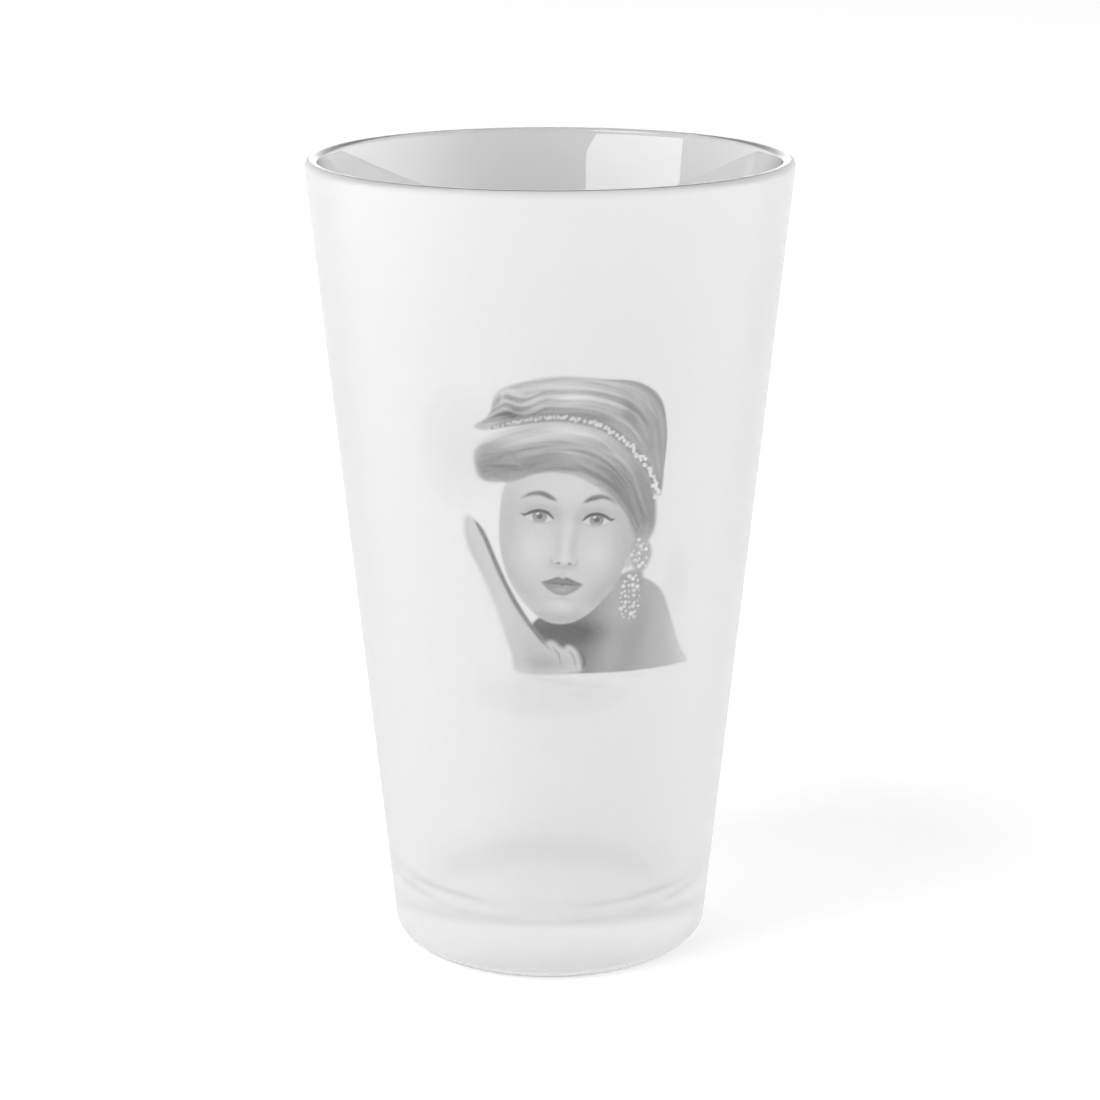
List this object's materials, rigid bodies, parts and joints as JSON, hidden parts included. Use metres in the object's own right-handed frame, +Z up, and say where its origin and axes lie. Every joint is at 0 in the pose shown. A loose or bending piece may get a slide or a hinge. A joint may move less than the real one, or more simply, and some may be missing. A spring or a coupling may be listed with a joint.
{
  "type": "pint glass",
  "caption": "Tapered straight-sided pint glass with a rounded clear lip, a thick base, a frosted outer wall and a grey printed portrait on its front.",
  "frame": {"origin": "centre of the flat ring that the glass stands on, on the table plane", "axes": "+Z up along the glass's axis, -Y towards the front with the printed portrait, +X to the right as seen from the front"},
  "size_m": [0.089, 0.089, 0.1492],
  "materials": {
    "clear_glass": "pressed and fire-polished clear soda-lime glass",
    "frosted_coat": "fine satin frost, translucent white",
    "printed_ink": "soft grey print, matt, absorbed into the coat"
  },
  "bodies": {
    "root": {"glass_body": "clear_glass", "frost_coating": "frosted_coat", "portrait_print": "printed_ink"}
  },
  "joints": []
}
